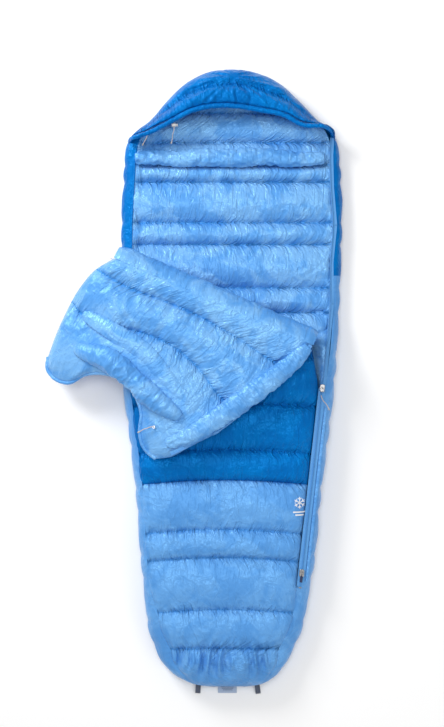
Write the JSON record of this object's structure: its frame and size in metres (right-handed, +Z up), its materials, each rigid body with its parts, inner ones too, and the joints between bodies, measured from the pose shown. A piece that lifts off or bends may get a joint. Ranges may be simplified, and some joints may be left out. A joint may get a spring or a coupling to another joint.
{
  "type": "mummy sleeping bag",
  "caption": "Tapered down sleeping bag with a drawcord hood, laid flat and half opened: the quilted top folds back over the foot along a full side zip.",
  "frame": {"origin": "on the flat underside, at the centre of the bag's plan, without the folded flap", "axes": "+Y from foot to hood, +X towards the zip side, +Z up from the ground"},
  "size_m": [1.0179, 2.1852, 0.2245],
  "materials": {
    "shell_dark": "dark blue nylon ripstop, soft sheen",
    "shell_light": "light blue nylon ripstop, soft sheen",
    "liner": "sky blue nylon taffeta, soft sheen",
    "down": "goose down clusters",
    "baffle_mesh": "fine nylon mesh",
    "zip_tape": "woven polyester tape",
    "zip_coil": "moulded nylon coil",
    "slider_metal": "nickel-plated die casting",
    "pull_plastic": "dark moulded plastic",
    "lock_plastic": "pale grey moulded plastic",
    "cord": "braided polyester cord",
    "webbing": "dark woven webbing with a paler centre stripe",
    "label": "white satin tape with grey print",
    "print_ink": "white heat-transfer print"
  },
  "bodies": {
    "root": {"base_shell_light": "shell_light", "base_shell_dark": "shell_dark", "base_down": "down", "base_baffles": "baffle_mesh", "base_liner": "liner", "side_walls_dark": "shell_dark", "side_wall_left_light": "shell_light", "side_wall_right_light": "shell_light", "foot_wall": "shell_light", "base_collar": "liner", "gusset_down": "down", "gusset_shell": "shell_light", "zip_guard": "shell_light", "hood_shell": "shell_dark", "hood_down": "down", "hood_baffles": "baffle_mesh", "hood_liner": "liner", "hood_back_wall": "shell_dark", "hood_hem": "shell_dark", "hood_drawcord": "cord", "cord_lock_body": "lock_plastic", "cord_lock_spring": "slider_metal", "hood_tail": "cord", "left_tail": "cord", "hood_eyelets": "slider_metal", "quilt_shell_dark": "shell_dark", "quilt_shell_light": "shell_light", "quilt_down": "down", "quilt_baffles": "baffle_mesh", "quilt_liner": "liner", "quilt_draft_tube": "liner", "fold_liner": "liner", "fold_down": "down", "zip_tape_quilt": "zip_tape", "zip_tape_bag": "zip_tape", "zip_coil_closed": "zip_coil", "zip_coil_open": "zip_coil", "zip_stop": "slider_metal", "printed_mark": "print_ink"},
    "flap": {"flap_shell": "shell_dark", "flap_down": "down", "flap_baffles": "baffle_mesh", "flap_liner": "liner", "flap_collar": "liner", "flap_draft_tube": "liner", "collar_ruffle": "liner", "flap_zip_tape": "zip_tape", "flap_coil": "zip_coil", "flap_eyelet": "slider_metal", "flap_cord": "cord"},
    "upper_slider": {"slider_upper": "slider_metal"},
    "upper_pull": {"pull_ring_upper": "slider_metal", "pull_cord": "cord"},
    "lower_slider": {"slider_lower": "slider_metal"},
    "lower_pull": {"pull_ring_lower": "pull_plastic", "pull_tab": "pull_plastic"},
    "lock_button": {"cord_lock_button": "lock_plastic"},
    "left_loop": {"foot_loop_left": "webbing"},
    "right_loop": {"foot_loop_right": "webbing"},
    "label": {"care_label": "label"}
  },
  "joints": [
    {"name": "flap_fold", "type": "hinge", "parent": "root", "child": "flap", "pos_m": [-0.033, 0.25, 0.13325], "axis": [-0.9157, 0.4019, 0], "range_deg": [0, 150], "deforming": ["fold_liner", "fold_down"]},
    {"name": "upper_slider_travel", "type": "slide", "parent": "root", "child": "upper_slider", "axis": [0.1106, 0.9939, 0], "range_m": [-0.56, 0]},
    {"name": "upper_pull_swing", "type": "hinge", "parent": "upper_slider", "child": "upper_pull", "pos_m": [0.311, -0.031, 0.1064], "axis": [-0.9939, 0.1106, 0], "range_deg": [0, 110]},
    {"name": "lower_slider_travel", "type": "slide", "parent": "root", "child": "lower_slider", "axis": [0.1106, 0.9939, 0], "range_m": [0, 0.56]},
    {"name": "lower_pull_swing", "type": "hinge", "parent": "lower_slider", "child": "lower_pull", "pos_m": [0.24, -0.669, 0.1064], "axis": [-0.9939, 0.1106, 0], "range_deg": [0, 150]},
    {"name": "lock_button_press", "type": "slide", "parent": "root", "child": "lock_button", "axis": [-1, 0, 0], "range_m": [0, 0.003], "stiffness_N_per_m": 400, "springref_m": -0.001, "deforming": ["cord_lock_spring"]},
    {"name": "left_loop_swing", "type": "hinge", "parent": "root", "child": "left_loop", "pos_m": [-0.118, -1.073, 0.0052], "axis": [-1, 0, 0], "range_deg": [0, 60]},
    {"name": "right_loop_swing", "type": "hinge", "parent": "root", "child": "right_loop", "pos_m": [0.088, -1.075, 0.0052], "axis": [-1, 0, 0], "range_deg": [0, 60]},
    {"name": "label_swing", "type": "hinge", "parent": "root", "child": "label", "pos_m": [-0.016, -1.0755, 0.0024], "axis": [-1, 0, 0], "range_deg": [0, 60]}
  ]
}
